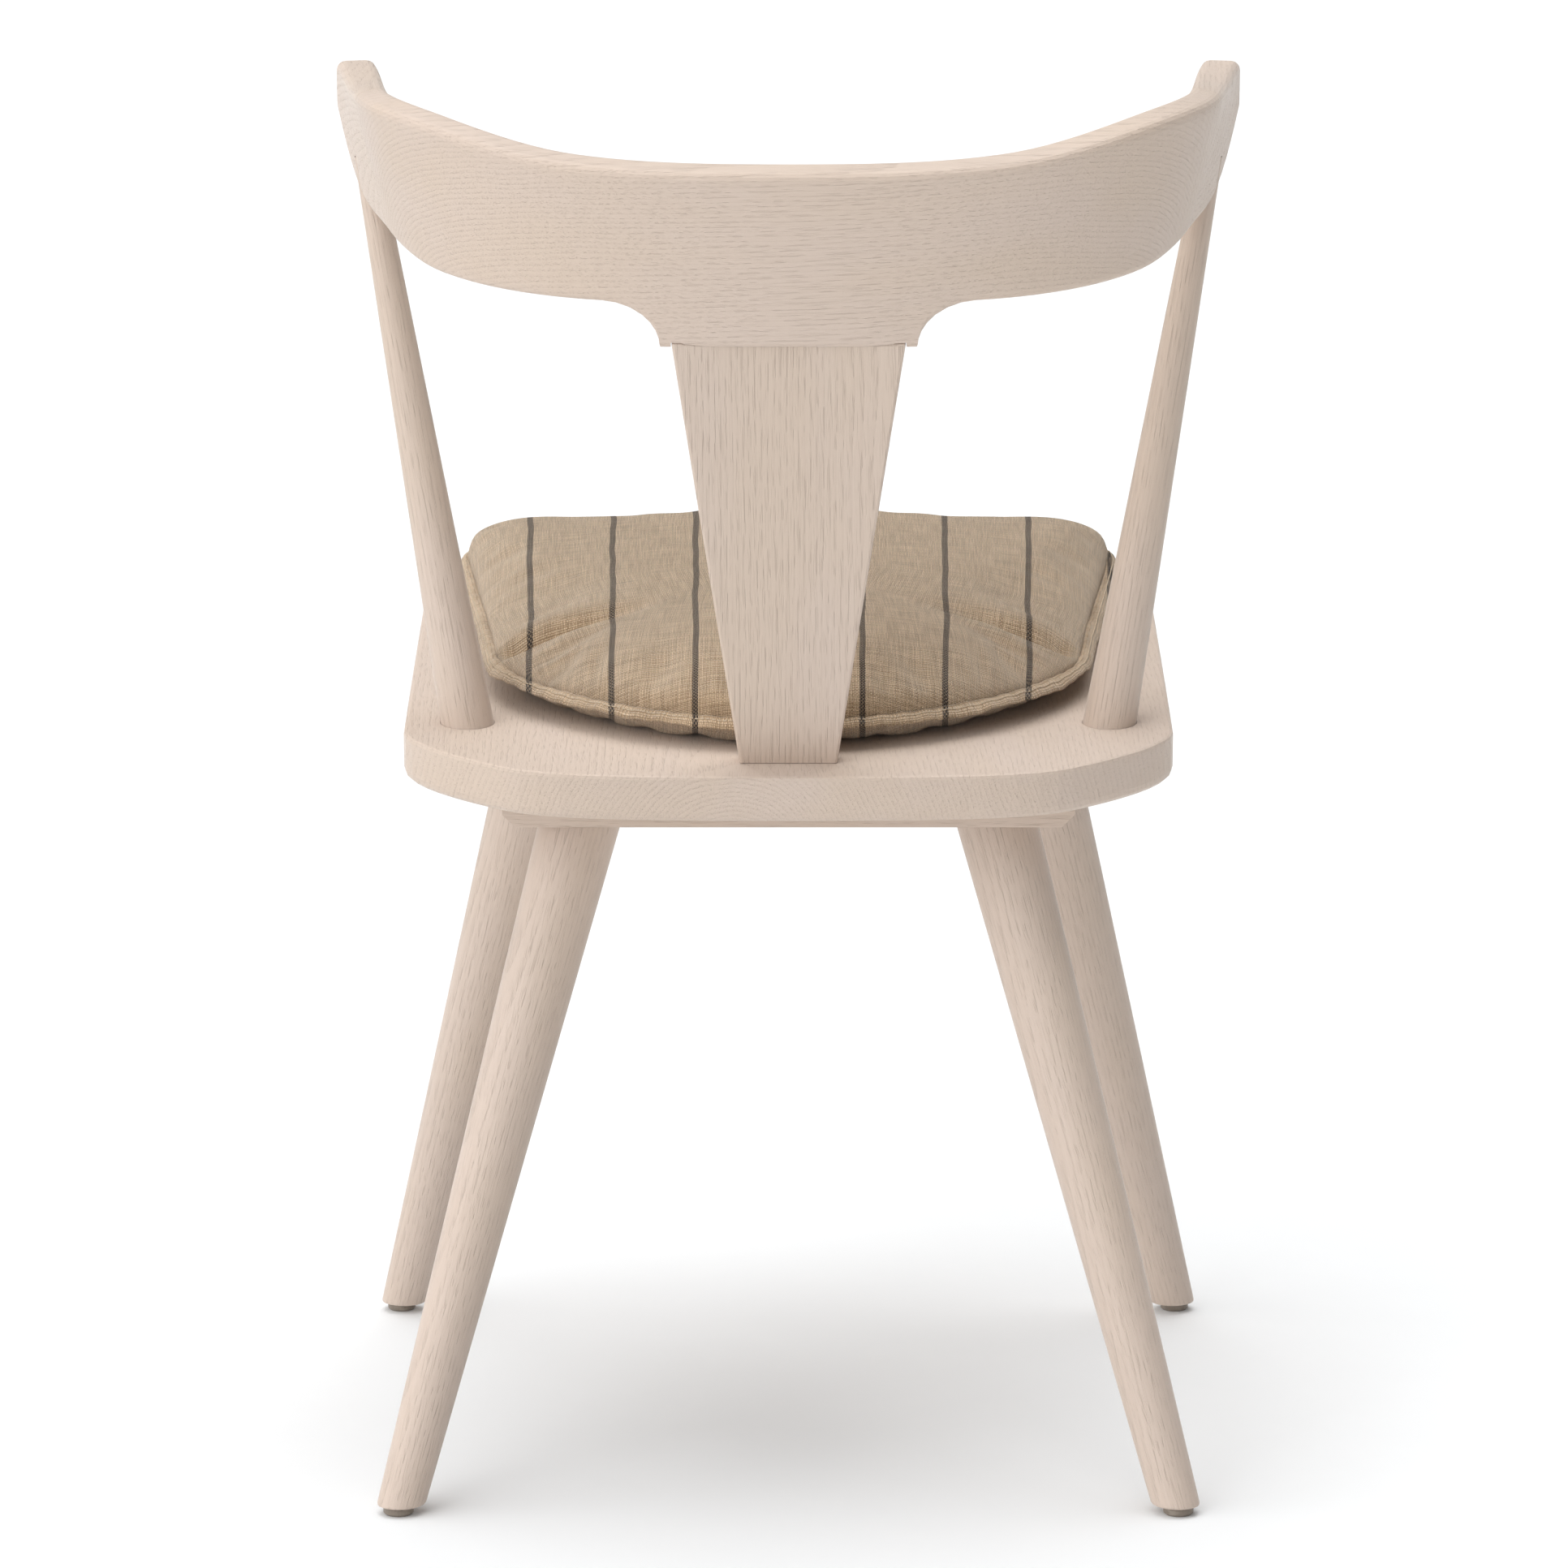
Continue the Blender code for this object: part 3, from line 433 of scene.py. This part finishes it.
def build_cushion():
    """The closed cover before inflation, with a weave map, and each point's place in the grid."""
    upper, lower, ratio, direction = cushion_panels()
    size = CUSHION_CELLS + 1
    rim = np.zeros((size, size), bool)
    rim[[0, -1], :] = True
    rim[:, [0, -1]] = True
    top_index = np.arange(size * size).reshape(size, size)
    low_index = top_index.copy()
    low_index[~rim] = size * size + np.arange((~rim).sum())
    points = np.vstack([upper.reshape(-1, 3), lower[~rim]])
    maps = [np.dstack([arc_length(p, 0), arc_length(p, 1)]) for p in (upper, lower)]

    faces = []
    corners = []
    for panel, (index, turn) in enumerate(((top_index, 1), (low_index, -1))):
        for i in range(CUSHION_CELLS):
            for j in range(CUSHION_CELLS):
                square = ((i, j), (i + 1, j), (i + 1, j + 1), (i, j + 1))[::turn]
                faces.append([int(index[c]) for c in square])
                corners.extend(maps[panel][c] for c in square)

    mesh = bpy.data.meshes.new("seat_cushion")
    mesh.from_pydata([tuple(p) for p in points], [], faces)
    weave = mesh.uv_layers.new(name="weave")
    weave.data.foreach_set("uv", np.array(corners, np.float32).ravel())
    sides = np.repeat([0, 1], CUSHION_CELLS ** 2)
    mesh.polygons.foreach_set("material_index", sides.astype(np.int32))
    mesh.update()
    cushion = bpy.data.objects.new("seat_cushion", mesh)
    bpy.context.scene.collection.objects.link(cushion)
    seam = cushion.vertex_groups.new(name="seam")
    seam.add([int(v) for v in top_index[rim]], 1.0, "REPLACE")
    grid = {
        "top": top_index.ravel(),
        "ratio": ratio.ravel(),
        "direction": direction.ravel(),
    }
    return cushion, grid


def inflate(cushion):
    """Fills the cover by cloth simulation, and keeps the swelling within its limit."""
    mesh = cushion.data
    start = np.array([v.co for v in mesh.vertices])
    cloth = cushion.modifiers.new("cover", "CLOTH")
    settings = cloth.settings
    settings.quality = 6
    settings.mass = 0.25
    settings.tension_stiffness = 12.0
    settings.compression_stiffness = 12.0
    settings.bending_stiffness = 1.2
    settings.shrink_min = -0.020
    settings.use_pressure = True
    settings.uniform_pressure_force = 4.0
    settings.vertex_group_mass = "seam"
    settings.effector_weights.gravity = 0.0
    cloth.collision_settings.use_collision = False
    scene = bpy.context.scene
    for step in range(1, SIMULATED_FRAMES + 1):
        scene.frame_set(step)
    filled = cushion.evaluated_get(bpy.context.evaluated_depsgraph_get()).to_mesh()
    end = np.array([v.co for v in filled.vertices])
    cushion.evaluated_get(bpy.context.evaluated_depsgraph_get()).to_mesh_clear()
    cushion.modifiers.remove(cloth)
    scene.frame_set(1)
    move = end - start
    length = np.linalg.norm(move, axis=1, keepdims=True) + 1e-9
    return start + move * GREATEST_SWELL * np.tanh(length / GREATEST_SWELL) / length


def settle(points, grid):
    """Presses in the corner creases and rests the cushion flat on the seat."""
    top = grid["top"]
    points[top, 2] -= FOLD_DEPTH * fold(grid["ratio"], grid["direction"])
    low = points[:, 2] < REST_GAP
    points[low, 2] = REST_GAP
    return points


def ripple(turn, seed):
    """A small irregular wave round the seam, from -1 to 1."""
    waves = ((7, 0.30), (12, 0.35), (19, 0.25), (31, 0.18), (53, 0.10))
    return sum(size * np.sin(count * turn + seed * 2.1 * count) for count, size in waves)


def flange_line(inset, lift):
    """Points round the flange at a distance in from its edge and above its middle."""
    turn = np.linspace(0.0, math.tau, 721)[:-1]
    distance = cushion_reach(inset)(turn) + 0.0006 * ripple(turn, 2.0) * (1.0 - inset / FLANGE_WIDTH)
    x = distance * np.cos(turn)
    y = distance * np.sin(turn) + CUSHION_MIDDLE
    away = 1.0 - inset / FLANGE_WIDTH
    z = SEAM_HEIGHT + lift - FLANGE_DROOP * max(away, 0.0)
    z += 0.0018 * ripple(turn, 1.0) * away + 0.0003 * np.sin(turn * 90)
    return np.column_stack([x, y, z])


def add_flange(cushion):
    """The flat border outside the seam, as a closed band that is part of the cover."""
    half = FLANGE_THICKNESS / 2
    insets = (0.0085, 0.0042, 0.0026, 0.0012, 0.0003)
    section = list(zip(insets, (half * share for share in (0.7, 1.05, 0.72, 1.0, 0.7))))
    loop = section + [(0.0, 0.0)] + [(inset, -lift) for inset, lift in section[::-1]]
    rows = [flange_line(inset, lift) for inset, lift in loop]
    count = len(rows[0])
    points = np.vstack(rows)
    length = np.concatenate([[0.0], np.cumsum(np.linalg.norm(np.diff(rows[0], axis=0), axis=1))])
    faces = []
    corners = []
    for r in range(len(rows)):
        following = (r + 1) % len(rows)
        for i in range(count):
            j = (i + 1) % count
            faces.append((r * count + i, r * count + j, following * count + j, following * count + i))
            start, ahead = length[i], length[i] + 0.002
            low, high = r * 0.001, (r + 1) * 0.001
            corners.extend(((start, low), (ahead, low), (ahead, high), (start, high)))
    mesh = bpy.data.meshes.new("flange")
    mesh.from_pydata([tuple(p) for p in points], [], faces)
    weave = mesh.uv_layers.new(name="weave")
    weave.data.foreach_set("uv", np.array(corners, np.float32).ravel())
    band = bpy.data.objects.new("flange", mesh)
    bpy.context.scene.collection.objects.link(band)
    with bpy.context.temp_override(active_object=cushion, selected_editable_objects=[cushion, band]):
        bpy.ops.object.join()


def make_stitches():
    """Topstitching round the flange, each stitch a small capsule pressed into the cloth."""
    line = flange_line(FLANGE_WIDTH * 0.62, FLANGE_THICKNESS * 0.46)
    line = np.vstack([line, line[:1]])
    travel = np.concatenate([[0.0], np.cumsum(np.linalg.norm(np.diff(line, axis=0), axis=1))])
    count = round(travel[-1] / STITCH_PITCH)
    points = []
    faces = []
    for stitch in range(count):
        start = stitch * travel[-1] / count
        for station, fatness in ((0.0, 0.25), (0.18, 0.85), (0.5, 1.0), (0.82, 0.85), (1.0, 0.25)):
            at = start + station * STITCH_LENGTH
            centre = Vector([np.interp(at, travel, line[:, k]) for k in range(3)])
            ahead = Vector([np.interp(at + 0.0005, travel, line[:, k]) for k in range(3)])
            forward = (ahead - centre).normalized()
            side = forward.cross(Vector((0.0, 0.0, 1.0))).normalized()
            lift = side.cross(forward)
            for corner in range(6):
                angle = corner * math.tau / 6
                outward = side * math.cos(angle) * 1.15 + lift * math.sin(angle)
                points.append(centre + outward * STITCH_RADIUS * fatness)
        base = stitch * 30
        for ring in range(4):
            for corner in range(6):
                a = base + ring * 6 + corner
                b = base + ring * 6 + (corner + 1) % 6
                faces.append((a, b, b + 6, a + 6))
        faces.append(tuple(base + corner for corner in range(5, -1, -1)))
        faces.append(tuple(base + 24 + corner for corner in range(6)))
    mesh = bpy.data.meshes.new("cushion_topstitch")
    mesh.from_pydata(points, [], faces)
    stitches = bpy.data.objects.new("cushion_topstitch", mesh)
    bpy.context.scene.collection.objects.link(stitches)
    return stitches


def finish_mesh(obj, materials):
    """Lays a piece on the seat and shades it smooth."""
    obj.data.transform(seat_plane())
    obj.data.update()
    for face in obj.data.polygons:
        face.use_smooth = True
    for material in materials:
        obj.data.materials.append(material)


def make_cushion():
    cushion, grid = build_cushion()
    points = inflate(cushion)
    points = settle(points, grid)
    cushion.data.vertices.foreach_set("co", points.astype(np.float32).ravel())
    cushion.vertex_groups.clear()
    add_flange(cushion)
    finish_mesh(cushion, (linen("linen_top", 0.0), linen("linen_under", 0.003)))
    smooth = cushion.modifiers.new("subdivision", "SUBSURF")
    smooth.levels = 1
    smooth.render_levels = 1
    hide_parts("cushion_cover_top", "cushion_cover_bottom", "cushion_insert")
    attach(cushion, "cushion")

    stitches = make_stitches()
    finish_mesh(stitches, (thread(),))
    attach(stitches, "cushion")


# ---- studio ----
FLOOR_HALF = 30.0
SKY_LEFT = 0.40
SKY_RIGHT = 0.12


def make_camera():
    camera = bpy.data.objects.new("camera", bpy.data.cameras.new("camera"))
    bpy.context.scene.collection.objects.link(camera)
    camera.location = CAMERA_PLACE
    camera.rotation_euler = (math.radians(90) - CAMERA_DIP, 0.0, math.pi)
    camera.data.lens = LENS
    camera.data.sensor_width = SENSOR
    camera.data.clip_end = 100.0
    bpy.context.scene.camera = camera


def make_floor():
    f = Finish("studio_floor")
    source = f.add("TexCoord", {}).outputs["Object"]
    paper = f.noise(source, (30.0, 30.0, 30.0), detail=3.0)
    colour = f.mix(paper, (0.810, 0.824, 0.834), (0.820, 0.834, 0.844))
    f.shade(colour, f.math("MULTIPLY_ADD", paper, 0.05, 0.90), paper, 0.0001, **{
        "Specular IOR Level": 0.0,
        "Emission Color": (1.0, 1.0, 1.0, 1.0),
        "Emission Strength": 0.07,
    })
    mesh = bpy.data.meshes.new("floor")
    square = ((-1, -1), (1, -1), (1, 1), (-1, 1))
    mesh.from_pydata([(FLOOR_HALF * x, FLOOR_HALF * y, 0) for x, y in square], [], [(0, 1, 2, 3)])
    mesh.materials.append(f.material)
    floor = bpy.data.objects.new("floor", mesh)
    bpy.context.scene.collection.objects.link(floor)


def add_light(name, source, softness, strength):
    """A distant soft light; source is the direction that it comes from."""
    light = bpy.data.lights.new(name, "SUN")
    light.energy = strength
    light.angle = math.radians(softness)
    lamp = bpy.data.objects.new(name, light)
    bpy.context.scene.collection.objects.link(lamp)
    lamp.rotation_euler = (-Vector(source)).to_track_quat("-Z", "Y").to_euler()


def make_lights():
    world = bpy.data.worlds.new("studio")
    world.use_nodes = True
    tree = world.node_tree
    direction = tree.nodes.new("ShaderNodeTexCoord").outputs["Generated"]
    split = tree.nodes.new("ShaderNodeSeparateXYZ")
    spread = tree.nodes.new("ShaderNodeMapRange")
    spread.inputs["From Min"].default_value = -1.0
    spread.inputs["To Min"].default_value = SKY_RIGHT
    spread.inputs["To Max"].default_value = SKY_LEFT
    tree.links.new(direction, split.inputs[0])
    tree.links.new(split.outputs["X"], spread.inputs["Value"])
    sky = tree.nodes["Background"]
    sky.inputs["Color"].default_value = (1.0, 1.0, 1.0, 1.0)
    tree.links.new(spread.outputs[0], sky.inputs["Strength"])
    bpy.context.scene.world = world
    add_light("key", (0.88, 0.50, 0.36), 78.0, 1.70)
    add_light("fill", (0.20, 0.62, 0.76), 50.0, 0.60)
    add_light("top", (0.0, -0.22, 1.0), 60.0, 2.15)
    bpy.context.scene.view_settings.view_transform = "Standard"


make_camera()
dress_wood()
dress_hardware()
make_cushion()
make_floor()
make_lights()
